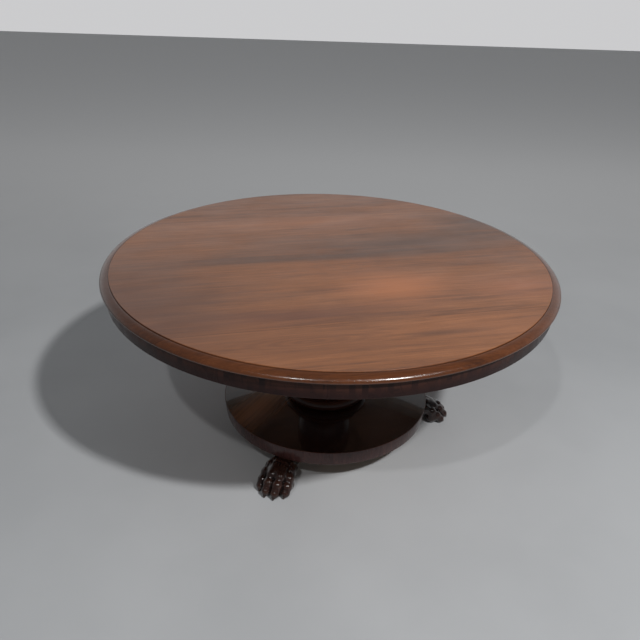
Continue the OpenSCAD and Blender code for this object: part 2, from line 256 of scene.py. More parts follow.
def make_figure_group():
    """Mahogany figure along X: broad soft bands, streaks, fibres and short open pores."""
    tree, given, result = shared_effect("mahogany_figure", {
        "Position": "Vector", "Board": "Float", "Pale": "Color", "Middle": "Color", "Dark": "Color",
        "Contrast": "Float"}, {"Colour": "Color", "Grain": "Float"})
    at = given["Position"]
    wander = noise(tree, stretch(tree, at, (1.3, 5, 5)), 1.0, 2.0)
    sway = combine(tree, {1: times(tree, wander, 0.05)})
    jump = combine(tree, {0: times(tree, given["Board"], 3.7), 1: times(tree, given["Board"], 1.9)})
    at = shift(tree, shift(tree, at, sway), jump)
    bands = ramp(tree, noise(tree, stretch(tree, at, (1.5, 10, 10)), 1.0, 2.0), 0.34, 0.66)
    streaks = ramp(tree, noise(tree, stretch(tree, at, (3.4, 70, 70)), 1.0, 4.0, 0.65), 0.3, 0.7)
    lines = ramp(tree, noise(tree, stretch(tree, at, (7, 260, 260)), 1.0, 3.0, 0.6), 0.3, 0.7)
    fibres = noise(tree, stretch(tree, at, (14, 620, 620)), 1.0, 2.0, 0.6)
    dashes = ramp(tree, noise(tree, stretch(tree, at, (150, 2100, 2100)), 1.0, 1.0), 0.60, 0.68)
    mottle = noise(tree, stretch(tree, at, (16, 9, 9)), 1.0, 1.0)
    tone = plus(tree, times(tree, bands, 0.24), times(tree, streaks, 0.30))
    tone = plus(tree, tone, times(tree, lines, 0.26))
    tone = plus(tree, tone, times(tree, mottle, 0.20))
    tone = plus(tree, tone, -0.5)
    tone = plus(tree, times(tree, tone, given["Contrast"]), 0.5, clamp=True)
    lower = blend(tree, ramp(tree, tone, 0.0, 0.5), given["Dark"], given["Middle"])
    colour = blend(tree, ramp(tree, tone, 0.45, 1.0), lower, given["Pale"])
    thread = ramp(tree, fibres, 0.3, 0.7, 0.84, 1.12)
    thread_colour = put(tree, "ShaderNodeCombineColor", {0: thread, 1: thread, 2: thread}).outputs[0]
    colour = blend(tree, 1.0, colour, thread_colour, "MULTIPLY")
    colour = blend(tree, times(tree, dashes, 0.45), colour, given["Dark"])
    height = minus(tree, times(tree, fibres, 0.4), dashes)
    feed(tree, result, {"Colour": colour, "Grain": height})
    return tree


def make_polish_group():
    """Roughness and relief of a polished film: smears, faint rubbing marks, slight waviness."""
    tree, given, result = shared_effect("polish_film", {
        "Position": "Vector", "Gloss low": "Float", "Gloss high": "Float"},
        {"Roughness": "Float", "Relief": "Float"})
    at = given["Position"]
    smears = noise(tree, stretch(tree, at, (5, 11, 11)), 1.0, 4.0, 0.6)
    rubbing = noise(tree, stretch(tree, at, (30, 420, 420)), 1.0, 2.0)
    specks = ramp(tree, noise(tree, at, 900.0, 1.0), 0.66, 0.74)
    mixed = plus(tree, times(tree, smears, 0.8), times(tree, rubbing, 0.2))
    span = minus(tree, given["Gloss high"], given["Gloss low"])
    spread = times(tree, ramp(tree, mixed, 0.32, 0.68), span)
    rough = plus(tree, given["Gloss low"], spread)
    rough = plus(tree, rough, times(tree, specks, 0.12), clamp=True)
    waves = noise(tree, at, 55.0, 2.0)
    relief_h = plus(tree, waves, times(tree, rubbing, 0.15))
    feed(tree, result, {"Roughness": rough, "Relief": relief_h})
    return tree


def make_age_group():
    """Rubbed pale edges and dark wax in the hollows, from the piece's edge attribute; on the paws the
    near-black hollows are also painted shade.
    """
    tree, given, result = shared_effect("edge_age", {
        "Colour": "Color", "Position": "Vector", "Edge": "Float", "Rubbed": "Color", "Wax": "Color",
        "Amount": "Float"}, {"Colour": "Color", "Worn": "Float", "Clean": "Float"})
    broken = ramp(tree, noise(tree, given["Position"], 38.0, 4.0, 0.65), 0.35, 0.6)
    out = ramp(tree, given["Edge"], 0.15, 0.8)
    worn = times(tree, times(tree, out, broken), given["Amount"])
    hollow = ramp(tree, given["Edge"], -0.08, -0.6)
    rubbed = blend(tree, worn, given["Colour"], given["Rubbed"])
    waxed = blend(tree, times(tree, hollow, 0.85), rubbed, given["Wax"])
    feed(tree, result, {"Colour": waxed, "Worn": worn, "Clean": ramp(tree, hollow, 0.0, 1.0, 1.0, 0.1)})
    return tree


def make_patch_group():
    """A soft-edged patch of darker or paler wood, long along X, with a wandering outline."""
    tree, given, result = shared_effect("soft_patch", {
        "Position": "Vector", "Centre": "Vector", "Half size": "Vector", "Strength": "Float"},
        {"Mask": "Float"})
    away = vector_maths(tree, "SUBTRACT", given["Position"], given["Centre"])
    distance = vector_length(tree, vector_maths(tree, "DIVIDE", away, given["Half size"]))
    wander = noise(tree, stretch(tree, given["Position"], (3, 14, 14)), 1.0, 2.0)
    threads = noise(tree, stretch(tree, given["Position"], (5, 130, 130)), 1.0, 3.0)
    edge = plus(tree, distance, times(tree, wander, 0.6))
    edge = plus(tree, edge, times(tree, threads, 0.7))
    mask = times(tree, ramp(tree, edge, 1.75, 0.45), given["Strength"])
    feed(tree, result, {"Mask": mask})
    return tree


figure_group = make_figure_group()
polish_group = make_polish_group()
age_group = make_age_group()
patch_group = make_patch_group()


# ---------- materials ----------

def new_material(name):
    material = bpy.data.materials.new(name)
    material.use_nodes = True
    tree = material.node_tree
    return material, tree, tree.nodes["Principled BSDF"]


def from_object(tree, turn=(0, 0, 0)):
    """Object coordinates turned so that X follows the grain."""
    place = put(tree, "ShaderNodeTexCoord").outputs["Object"]
    return put(tree, "ShaderNodeMapping", {"Vector": place, "Rotation": turn}).outputs[0]


def from_attribute(tree, name):
    return put(tree, "ShaderNodeAttribute", attribute_name=name).outputs["Vector"]


def from_uv(tree):
    return put(tree, "ShaderNodeUVMap", uv_map="UVMap").outputs[0]


def number_attribute(tree, name):
    return put(tree, "ShaderNodeAttribute", attribute_name=name).outputs["Fac"]


def relief(tree, first, first_depth, second, second_depth):
    """Two bumps, one on the other: fine grain, then the film over it."""
    inner = put(tree, "ShaderNodeBump", {"Height": first, "Distance": first_depth, "Strength": 1.0})
    outer = put(tree, "ShaderNodeBump", {"Height": second, "Distance": second_depth, "Strength": 1.0,
                                         "Normal": inner.outputs[0]})
    return outer.outputs[0]


def wood_figure(tree, at, palette, contrast):
    return place_group(tree, figure_group, {
        "Position": at, "Board": number_attribute(tree, "board"), "Pale": palette[0],
        "Middle": palette[1], "Dark": palette[2], "Contrast": contrast})


def polished_wood(name, position, palette, gloss, coat, contrast=1.0, wear=0.5, shine=0.5):
    """French-polished mahogany; palette is (pale, middle, dark, rubbed, wax in the hollows, which on the
    paws is also painted shade).
    """
    material, tree, shader = new_material(name)
    at = position(tree)
    figure = wood_figure(tree, at, palette, contrast)
    film = place_group(tree, polish_group, {"Position": at, "Gloss low": gloss[0], "Gloss high": gloss[1]})
    aged = place_group(tree, age_group, {
        "Colour": figure["Colour"], "Position": at, "Edge": number_attribute(tree, "edge"),
        "Rubbed": palette[3], "Wax": palette[4], "Amount": wear})
    rough = plus(tree, film["Roughness"], times(tree, aged["Worn"], 0.15), clamp=True)
    feed(tree, shader, {
        "Base Color": aged["Colour"], "Roughness": rough, "Specular IOR Level": shine,
        "Coat Weight": times(tree, aged["Clean"], coat[0]), "Coat Roughness": coat[1],
        "Normal": relief(tree, figure["Grain"], 0.03 * MM, film["Relief"], 0.05 * MM)})
    parts = {"at": at, "colour": aged["Colour"], "rough": rough}
    return material, tree, shader, parts


def add_patches(tree, at, colour, patches, size):
    """Lays soft patches over a colour: centre and half size as shares of size, tint, strength."""
    for centre, half, tint, strength in patches:
        mask = place_group(tree, patch_group, {
            "Position": at, "Centre": (centre[0] * size, centre[1] * size, 0),
            "Half size": (half[0] * size, half[1] * size, 10.0), "Strength": strength})["Mask"]
        colour = blend(tree, mask, colour, tint)
    return colour


def raw_wood(name, position, palette):
    """Planed wood that was never polished: matt, dusty, with plane and saw marks across the grain."""
    material, tree, shader = new_material(name)
    at = position(tree)
    figure = wood_figure(tree, at, palette, 1.0)
    dirt = ramp(tree, noise(tree, at, 9.0, 5.0, 0.6), 0.4, 0.75)
    marks = put(tree, "ShaderNodeTexWave", {"Vector": at, "Scale": 95.0, "Distortion": 2.0, "Detail": 1.0},
                bands_direction="X").outputs["Fac"]
    feed(tree, shader, {
        "Base Color": blend(tree, times(tree, dirt, 0.5), figure["Colour"], palette[3]),
        "Roughness": ramp(tree, dirt, 0, 1, 0.65, 0.87),
        "Normal": relief(tree, figure["Grain"], 0.12 * MM, marks, 0.05 * MM)})
    return material


def old_metal(name, bright, dull, spots, metallic, rough):
    """Handled metal: bright where it is rubbed, dull and spotted elsewhere."""
    material, tree, shader = new_material(name)
    at = from_object(tree)
    cloud = ramp(tree, noise(tree, at, 55.0, 5.0, 0.65), 0.38, 0.65)
    spot = ramp(tree, noise(tree, at, 420.0, 3.0), 0.58, 0.7)
    brushed = noise(tree, stretch(tree, at, (90, 1500, 1500)), 1.0, 2.0)
    colour = blend(tree, cloud, bright, dull)
    colour = blend(tree, times(tree, spot, 0.6), colour, spots)
    feed(tree, shader, {
        "Base Color": colour, "Roughness": ramp(tree, cloud, 0, 1, rough[0], rough[1]),
        "Metallic": ramp(tree, spot, 0, 1, metallic, metallic * 0.6),
        "Normal": relief(tree, brushed, 0.02 * MM, spot, 0.03 * MM)})
    return material


def along_boards(tree):
    return from_object(tree, (0, 0, -grain))


def along_platform_veneer(tree):
    return from_object(tree, (0, 0, -platform_grain))


def across_boards(tree):
    return from_object(tree, (0, 0, math.pi / 2 - grain))


def up_the_column(tree):
    return from_object(tree, (0, math.pi / 2, 0))


def along_carving(tree):
    return from_attribute(tree, "carving")


def top_wood():
    """The polished top: boards with dark and bright patches, partly wood tone and partly painted light and
    shade, and a darker moulding.
    """
    palette = ((0.348, 0.138, 0.056, 1), (0.246, 0.095, 0.038, 1), (0.130, 0.053, 0.027, 1),
               (0.34, 0.12, 0.045, 1), (0.09, 0.030, 0.012, 1))
    material, tree, shader, parts = polished_wood(
        "top_mahogany", along_boards, palette, (0.30, 0.44), (0.22, 0.18), contrast=1.15, wear=0.35,
        shine=0.45)
    at = parts["at"]
    # The long narrow patches along the grain are board figure. The broad dark ones at the left and front
    # left are painted shade, and the pale ones at the front right are painted light from the key lamp's
    # side.
    colour = add_patches(tree, at, parts["colour"], [
        ((0.42, 0.14), (1.15, 0.20), (0.088, 0.050, 0.036, 1), 0.92),
        ((0.00, 0.02), (1.20, 0.08), (0.100, 0.052, 0.034, 1), 0.90),
        ((-0.92, -0.28), (0.60, 0.70), (0.118, 0.054, 0.034, 1), 0.85),
        ((0.20, -0.34), (0.34, 0.22), (0.460, 0.165, 0.064, 1), 0.85),
        ((0.72, -0.42), (0.32, 0.16), (0.420, 0.160, 0.080, 1), 0.55),
        ((-0.30, -0.53), (0.55, 0.10), (0.130, 0.052, 0.034, 1), 0.80),
        ((0.24, -0.75), (0.26, 0.03), (0.080, 0.036, 0.022, 1), 0.85),
        ((0.00, 0.48), (0.80, 0.18), (0.400, 0.165, 0.082, 1), 0.45),
        ((-0.35, -0.75), (0.55, 0.16), (0.200, 0.078, 0.034, 1), 0.55),
        ((0.50, -0.72), (0.50, 0.12), (0.350, 0.138, 0.058, 1), 0.45),
        ((0.90, 0.36), (0.42, 0.24), (0.066, 0.052, 0.048, 1), 0.75),
        ((-0.72, -0.46), (0.42, 0.30), (0.095, 0.044, 0.030, 1), 0.60),
    ], top_r)

    # a flame of curved growth rings near the front
    flame = (-0.26 * top_r, -0.73 * top_r)
    rings = put(tree, "ShaderNodeTexWave", {
        "Vector": stretch(tree, shift(tree, at, (-flame[0], -flame[1], 0)), (6, 34, 0)),
        "Scale": 1.0, "Distortion": 1.5, "Detail": 2.0},
        wave_type="RINGS", rings_direction="Z").outputs["Fac"]
    near = place_group(tree, patch_group, {
        "Position": at, "Centre": (*flame, 0), "Half size": (0.42 * top_r, 0.12 * top_r, 10.0),
        "Strength": 0.6})["Mask"]
    colour = blend(tree, times(tree, near, rings), colour, palette[2])

    # fine dark lines where two boards meet
    across = split(tree, at)[1]
    for joint in joint_lines:
        off = maths(tree, "ABSOLUTE", minus(tree, across, joint))
        open_part = ramp(tree, noise(tree, stretch(tree, at, (2.5, 9, 9)), 1.0, 2.0), 0.40, 0.56)
        line = times(tree, ramp(tree, off, 1.6 * MM, 0.4 * MM), open_part)
        colour = blend(tree, times(tree, line, 0.75), colour, palette[4])

    # the moulding is darker, redder and glossier than the field
    out = vector_length(tree, stretch(tree, at, (1, 1, 0)))
    rim = ramp(tree, out, top_r - moulding_w - 0.3 * MM, top_r - moulding_w + 0.5 * MM)
    darker = blend(tree, 1.0, colour, (0.40, 0.32, 0.26, 1), "MULTIPLY")
    glossier = times(tree, parts["rough"], ramp(tree, rim, 0, 1, 1.0, 0.50))
    feed(tree, shader, {"Base Color": blend(tree, rim, colour, darker), "Roughness": glossier})
    return material


def platform_wood():
    """The platform's face: very dark, with a brown patch at the left that is partly streaky veneer and
    partly painted light, where a lamp lights the veneer under the top.
    """
    palette = ((0.048, 0.020, 0.012, 1), (0.022, 0.010, 0.007, 1), (0.010, 0.005, 0.004, 1),
               (0.10, 0.04, 0.02, 1), black_wax)
    material, tree, shader, parts = polished_wood(
        "platform_mahogany", along_platform_veneer, palette, (0.08, 0.20), (1.0, 0.04))
    colour = add_patches(tree, parts["at"], parts["colour"], [
        # painted light: the first patch, a brown streak at the left, stands in for lamp light falling on
        # the veneer under the top
        ((-0.52, 0.43), (0.90, 0.30), (0.300, 0.125, 0.048, 1), 0.95),
        ((-0.30, 0.80), (0.60, 0.10), (0.100, 0.042, 0.020, 1), 0.80),
        ((0.55, -0.45), (0.60, 0.12), (0.070, 0.028, 0.016, 1), 0.60),
    ], platform_r)
    feed(tree, shader, {"Base Color": colour})
    return material


black_wax = (0.010, 0.006, 0.005, 1)
turned_palette = ((0.070, 0.024, 0.014, 1), (0.042, 0.014, 0.009, 1), (0.018, 0.007, 0.005, 1),
                  (0.14, 0.05, 0.025, 1), black_wax)
# The frieze's colours are far darker than the top's: painted shade, for the shade the frieze sits in under
# the top's overhang.
frieze_palette = ((0.032, 0.011, 0.010, 1), (0.020, 0.007, 0.006, 1), (0.009, 0.004, 0.004, 1),
                  (0.10, 0.035, 0.02, 1), black_wax)
band_palette = ((0.085, 0.034, 0.028, 1), (0.050, 0.019, 0.017, 1), (0.022, 0.009, 0.008, 1),
                (0.16, 0.06, 0.035, 1), black_wax)
# The carved wood's last colour, near black, fills the paws' hollows: partly dark wax, partly painted shade
# in the deep furrows between the toes.
carved_palette = ((0.034, 0.013, 0.009, 1), (0.021, 0.008, 0.006, 1), (0.008, 0.004, 0.003, 1),
                  (0.060, 0.025, 0.015, 1), (0.003, 0.002, 0.002, 1))
plain_palette = ((0.30, 0.15, 0.075, 1), (0.22, 0.105, 0.055, 1), (0.13, 0.06, 0.035, 1),
                 (0.10, 0.07, 0.05, 1))
pine_palette = ((0.42, 0.27, 0.14, 1), (0.34, 0.20, 0.10, 1), (0.22, 0.12, 0.055, 1),
                (0.15, 0.10, 0.065, 1))

top_material = top_wood()
face_material = platform_wood()
frieze_material = polished_wood("frieze_mahogany", from_uv, frieze_palette, (0.24, 0.40), (0.0, 0.2),
                                shine=0.16)[0]
band_material = polished_wood("band_mahogany", from_uv, band_palette, (0.20, 0.34), (0.25, 0.08),
                              shine=0.25)[0]
turned_material = polished_wood("turned_mahogany", up_the_column, turned_palette, (0.12, 0.25), (0.5, 0.05),
                                shine=0.2)[0]
ring_material = polished_wood("ring_mahogany", from_uv, turned_palette, (0.12, 0.25), (0.5, 0.05),
                              shine=0.2)[0]
carved_material = polished_wood("carved_mahogany", along_carving, carved_palette, (0.16, 0.24), (0.8, 0.15),
                                wear=0.35, shine=0.1)[0]
underside_material = raw_wood("underside_mahogany", along_boards, plain_palette)
bearer_material = raw_wood("bearer_mahogany", across_boards, plain_palette)
block_material = raw_wood("pine_blocks", from_uv, pine_palette)
core_material = raw_wood("pine_boards", along_boards, pine_palette)
brass_material = old_metal("brass", (0.56, 0.40, 0.18, 1), (0.27, 0.185, 0.085, 1), (0.09, 0.07, 0.04, 1),
                           1.0, (0.22, 0.42))
iron_material = old_metal("iron", (0.20, 0.19, 0.18, 1), (0.09, 0.08, 0.075, 1), (0.16, 0.06, 0.03, 1),
                          0.9, (0.40, 0.65))


# ---------- geometry node trees ----------

def geometry_tree(name, inputs):
    inputs = {"Geometry": "Geometry", **inputs, "Material": "Material"}
    tree, given, result = new_group(name, "GeometryNodeTree", inputs, {"Geometry": "Geometry"})
    tree.is_modifier = True
    return tree, given, result


def marked_with(tree, geometry, name, value, kind="FLOAT", domain="POINT"):
    """The geometry with a named attribute stored on it."""
    inputs = {"Geometry": geometry, "Name": name, "Value": value}
    return put(tree, "GeometryNodeStoreNamedAttribute", inputs, data_type=kind, domain=domain).outputs[0]


def own_position(tree):
    return put(tree, "GeometryNodeInputPosition").outputs[0]


def stored(tree, name):
    return put(tree, "GeometryNodeInputNamedAttribute", {"Name": name}, data_type="FLOAT").outputs[0]


def moved_to(tree, geometry, position):
    return put(tree, "GeometryNodeSetPosition", {"Geometry": geometry, "Position": position}).outputs[0]


def welded(tree, geometry):
    inputs = {"Geometry": geometry, "Distance": 0.02 * MM}
    return put(tree, "GeometryNodeMergeByDistance", inputs).outputs[0]


def shifted(tree, geometry, offset):
    return put(tree, "GeometryNodeTransform", {"Geometry": geometry, "Translation": offset}).outputs[0]


def joined(tree, *geometries):
    join = put(tree, "GeometryNodeJoinGeometry")
    for geometry in geometries:
        tree.links.new(geometry, join.inputs[0])
    return join.outputs[0]


def on_points(tree, points, instance, rotation):
    inputs = {"Points": points, "Instance": instance, "Rotation": rotation}
    return put(tree, "GeometryNodeInstanceOnPoints", inputs).outputs[0]


def close_tree(tree, geometry, given, result):
    """Every tree ends by realizing its instances and setting its material."""
    realized = put(tree, "GeometryNodeRealizeInstances", {"Geometry": geometry}).outputs[0]
    dressed = put(tree, "GeometryNodeSetMaterial", {"Geometry": realized, "Material": given["Material"]})
    feed(tree, result, {"Geometry": dressed.outputs[0]})
    return tree


def grow(name, mesh, tree, values):
    """Runs a tree on a starting mesh and gives back a plain object."""
    seed = link_mesh(name + "_seed", mesh)
    modifier = seed.modifiers.new("grow", "NODES")
    modifier.node_group = tree
    sockets = {s.name: s.identifier for s in tree.interface.items_tree if s.in_out == "INPUT"}
    for label, value in values.items():
        modifier[sockets[label]] = value
    seed.data.update()
    view = bpy.context.evaluated_depsgraph_get()
    grown = bpy.data.meshes.new_from_object(seed.evaluated_get(view), depsgraph=view)
    bpy.data.objects.remove(seed)
    piece = link_mesh(name, grown)
    tidy_normals(piece)
    finish_shading(piece.data)
    return piece


def on_circle(tree, radius, angle, height):
    """The point at that radius and angle round the Z axis, at that height."""
    return combine(tree, {0: times(tree, radius, maths(tree, "COSINE", angle)),
                          1: times(tree, radius, maths(tree, "SINE", angle)), 2: height})


def make_turning_tree():
    """Turned work: sweeps an outline of (radius, 0, height) points round the Z axis."""
    tree, given, result = geometry_tree("turned_work", {
        "Steps": "Int", "Points": "Int", "Start": "Float", "Wrap radius": "Float"})
    outline = given["Geometry"]
    columns = plus(tree, given["Steps"], 1)
    grid = put(tree, "GeometryNodeMeshGrid", {"Vertices X": columns, "Vertices Y": given["Points"]})
    index = put(tree, "GeometryNodeInputIndex").outputs[0]
    row = maths(tree, "MODULO", index, given["Points"])
    column = maths(tree, "FLOOR", over(tree, plus(tree, index, 0.5), given["Points"]))
    angle = times(tree, over(tree, column, given["Steps"]), 2 * math.pi)

    def sampled(kind, value):
        inputs = {"Geometry": outline, "Value": value, "Index": row}
        return put(tree, "GeometryNodeSampleIndex", inputs, data_type=kind).outputs[0]

    place = split(tree, sampled("FLOAT_VECTOR", own_position(tree)))
    spot = on_circle(tree, place[0], plus(tree, angle, given["Start"]), place[2])
    edge, run = sampled("FLOAT", stored(tree, "edge")), sampled("FLOAT", stored(tree, "run"))
    wrap = combine(tree, {0: times(tree, angle, given["Wrap radius"]), 1: run})
    swept = moved_to(tree, grid.outputs["Mesh"], spot)
    marked = marked_with(tree, swept, "edge", edge)
    mapped = marked_with(tree, marked, "UVMap", wrap, "FLOAT2", "CORNER")
    return close_tree(tree, welded(tree, mapped), given, result)


turning_tree = make_turning_tree()


def turned(name, outline, material, steps=192):
    """A turned piece from a closed clockwise outline of (radius, height) points."""
    points = outline + [outline[0]]
    mesh = bpy.data.meshes.new(name + "_outline")
    mesh.from_pydata([(r, 0, z) for r, z in points], [(i, i + 1) for i in range(len(points) - 1)], [])
    edge = np.append(edge_values(outline), 0)
    edge[-1] = edge[0]
    steps_along = np.linalg.norm(np.diff(np.array(points), axis=0), axis=1)
    run = np.concatenate([[0], np.cumsum(steps_along)])
    for label, values in (("edge", edge), ("run", run)):
        mesh.attributes.new(label, "FLOAT", "POINT").data.foreach_set("value", values.astype(np.float32))
    return grow(name, mesh, turning_tree, {
        "Steps": steps, "Points": len(points), "Start": seam_angle,
        "Wrap radius": max(r for r, z in outline), "Material": material})


def tidy_normals(piece):
    bm = bmesh.new()
    bm.from_mesh(piece.data)
    bmesh.ops.dissolve_degenerate(bm, dist=same_spot, edges=bm.edges)
    bmesh.ops.recalc_face_normals(bm, faces=bm.faces)
    bm.to_mesh(piece.data)
    bm.free()


def ready(piece, body, slot, *nodes):
    """Puts a finished piece on its body in place of its CAD nodes."""
    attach(piece, body)
    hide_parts(*nodes)
    return piece


# ---------- the top ----------

def top_outline():
    """Flat field, fine step, thumb moulding and a quirk over the frieze, from the middle outwards."""
    step_r = top_r - moulding_w
    lip_r, lip_z = step_r + 1.2 * MM, table_h - moulding_step
    nose_z = board_low + quirk_h + nose_under_r
    crown = [(lip_r + (top_r - lip_r) * math.sin(t), nose_z + (lip_z - nose_z) * math.cos(t))
             for t in np.radians(np.linspace(4, 90, 21))]
    quirk_r = frieze_r + quirk_w
    return ([(0, table_h), (step_r * 0.5, table_h), (step_r - 6 * MM, table_h),
             (step_r - 1.5 * MM, table_h)]
            + corner((step_r, table_h), 0.5 * MM, 90, 0, 4)
            + [(step_r + 0.1 * MM, lip_z - 0.9 * MM), (step_r + 0.8 * MM, lip_z - 0.9 * MM)]
            + crown + arc((top_r - nose_under_r, nose_z), nose_under_r, 0, -90, 7)[1:]
            + [(quirk_r, board_low + quirk_h), (quirk_r, board_low),
               (frieze_r, board_low), (frieze_r * 0.5, board_low), (0, board_low)])


def make_top_boards():
    """Cuts the turned disc into its four boards, along the grain."""
    disc = turned("top_disc", top_outline(), top_material, steps=288)
    disc.data.materials.append(underside_material)
    across = Vector((-math.sin(grain), math.cos(grain), 0))
    names = ["top_board_front", "top_board_mid_front", "top_board_mid_back", "top_board_back"]
    limits = (None,) + joint_lines + (None,)
    for number, name in enumerate(names):
        bm = bmesh.new()
        bm.from_mesh(disc.data)
        for limit, side in ((limits[number], -1), (limits[number + 1], 1)):
            if limit is None:
                continue
            parts = bm.verts[:] + bm.edges[:] + bm.faces[:]
            cut = bmesh.ops.bisect_plane(bm, geom=parts, plane_co=across * limit, plane_no=across * side,
                                         clear_outer=True)
            rim = [e for e in cut["geom_cut"] if isinstance(e, bmesh.types.BMEdge)]
            bmesh.ops.holes_fill(bm, edges=rim)
        for face in bm.faces:
            if face.normal.z < -0.9 and face.calc_center_median().z < board_low + 0.1 * MM:
                face.material_index = 1
        mesh = disc.data.copy()
        bm.to_mesh(mesh)
        bm.free()
        board = mesh.attributes.new("board", "FLOAT", "POINT")
        board.data.foreach_set("value", np.full(len(mesh.vertices), number * 1.0, np.float32))
        finish_shading(mesh)
        ready(link_mesh(name + "_polished", mesh), "tip_top", "top_mahogany", name)
    bpy.data.objects.remove(disc)


def make_frieze():
    inner = frieze_r - veneer_t
    outline = ([(inner, board_low), (frieze_r, board_low)]
               + corner((frieze_r, frieze_low), 1.2 * MM, 0, -90, 5) + [(inner, frieze_low)])
    ready(turned("frieze_band", outline, frieze_material, steps=288), "tip_top", "veneer_mahogany",
          "frieze_veneer")


# ---------- platform and column ----------

def make_platform():
    inner = platform_r - veneer_t
    low_r = platform_r - platform_slope
    band = ([(inner, platform_high)] + corner((platform_r, platform_high), 0.9 * MM, 90, 3, 6)
            + corner((low_r, platform_low), 1.4 * MM, 0, -90, 5)
            + [(inner - platform_slope, platform_low)])
    ready(turned("platform_band", band, band_material, steps=256), "stand", "veneer_mahogany",
          "platform_edge_veneer")
    face = [(spigot_r, platform_high), (inner * 0.6, platform_high), (inner - 8 * MM, platform_high),
            (inner - 2 * MM, platform_high), (inner, platform_high),
            (inner, platform_high - veneer_t), (spigot_r, platform_high - veneer_t)]
    ready(turned("platform_face", face, face_material, steps=256), "stand", "veneer_mahogany",
          "platform_face_veneer")


def make_column():
    bead = (base_ring_top - platform_high) / 2
    ring = ([(spigot_r, base_ring_top)]
            + arc((base_ring_r - bead, platform_high + bead), bead, 90, -90, 21)
            + [(spigot_r, platform_high)])
    ready(turned("column_foot_ring", ring, ring_material), "stand", "turned_mahogany", "column_base_ring")

    ledge = spigot_r + 36 * MM
    vase_low, vase_high = base_ring_top + 34 * MM, collar_low - 22 * MM
    vase_r, neck_r = 84 * MM, 50 * MM

    def vase(t):
        swell = math.sin(math.pi * t ** 0.62) ** 1.5
        return (neck_r + (vase_r - neck_r) * swell, vase_low + (vase_high - vase_low) * t)

    shaft = ([(0, shaft_high), (top_tenon_r, shaft_high), (top_tenon_r, collar_high),
              (spigot_r, collar_high), (spigot_r, vase_high + 16 * MM)]
             + arc((spigot_r, vase_high + 8 * MM), 8 * MM, 90, -90, 13)
             + [(spigot_r - 2 * MM, vase_high - 2 * MM)]
             + [vase(t) for t in np.linspace(0.97, 0.03, 48)]
             + [(neck_r + 4 * MM, vase_low - 2 * MM), (spigot_r + 12 * MM, base_ring_top + 25 * MM)]
             + arc((ledge, base_ring_top + 14 * MM), 9 * MM, 110, -90, 13)
             + [(ledge, base_ring_top), (spigot_r, base_ring_top), (spigot_r, platform_high),
                (tenon_r, platform_high), (tenon_r, shaft_low), (0, shaft_low)])
    ready(turned("column_vase", shaft, turned_material), "stand", "turned_mahogany", "column_shaft")

    curve = 24 * MM
    collar = ([(spigot_r, collar_high)] + corner((collar_r, collar_high), 1.5 * MM, 90, 0, 4)
              + corner((collar_r, collar_high - 10 * MM), 1.0 * MM, 0, -90, 4)
              + arc((collar_r - curve - 3 * MM, collar_high - 10 * MM), curve, 0, -90, 13)
              + [(spigot_r, collar_low)])
    ready(turned("column_upper_collar", collar, ring_material), "stand", "turned_mahogany",
          "column_top_collar")


# ---------- carved paws ----------
# The paw is designed in millimetres, pointing along +X, with X counted from the table's axis.

paw_low, paw_high = (232, -60, -4), (402, 60, 80)  # the box it is carved from, with some room
carving_step = 1.4
edge_probe = 2.2                                   # how far round a point its sharpness is judged
edge_gain = 4.5


def capsule(at, a, b, radius_a, radius_b):
    """Distance to a rounded rod that tapers from a to b."""
    a, b = np.array(a, float), np.array(b, float)
    along = b - a
    share = np.clip(((at - a) @ along) / (along @ along), 0, 1)
    away = np.linalg.norm(at - a - share[..., None] * along, axis=-1)
    return away - (radius_a + (radius_b - radius_a) * share)


def merge(a, b, soft):
    """Union of two distances with a fillet of about that size."""
    share = np.clip(0.5 + 0.5 * (b - a) / soft, 0, 1)
    return b + (a - b) * share - soft * share * (1 - share)


def toe_bones(side, outer):
    """One toe from ankle to tip: knuckles and the dips between them, with their thickness."""
    if outer:
        return [((300, side * 27, 46), 16.0), ((316, side * 30, 48), 15.2), ((326, side * 32, 43), 12.8),
                ((336, side * 34, 38), 14.8), ((345, side * 35.5, 31), 12.2),
                ((353, side * 36.5, 25), 14.0), ((360, side * 37, 18), 11.8), ((365, side * 37, 13), 12.6)]
    return [((304, side * 9, 57), 14.5), ((322, side * 10.5, 55), 15.0), ((334, side * 11.5, 49), 12.4),
            ((346, side * 12.3, 44), 15.0), ((356, side * 12.8, 37), 12.2), ((366, side * 13, 31), 14.6),
            ((374, side * 13.2, 23), 12.0), ((381, side * 13.2, 15), 13.2)]


def nail(at, tip, radius):
    """A short hooked nail that comes out of a toe's tip and touches the floor."""
    root = (tip[0] + radius * 0.40, tip[1], tip[2] - 2)
    bend = (tip[0] + radius * 0.75, tip[1], 7)
    point = (tip[0] + radius * 0.86, tip[1], 3)
    upper = capsule(at, root, bend, 5.6, 4.4)
    return merge(upper, capsule(at, bend, point, 4.4, 3.0), 1.0)


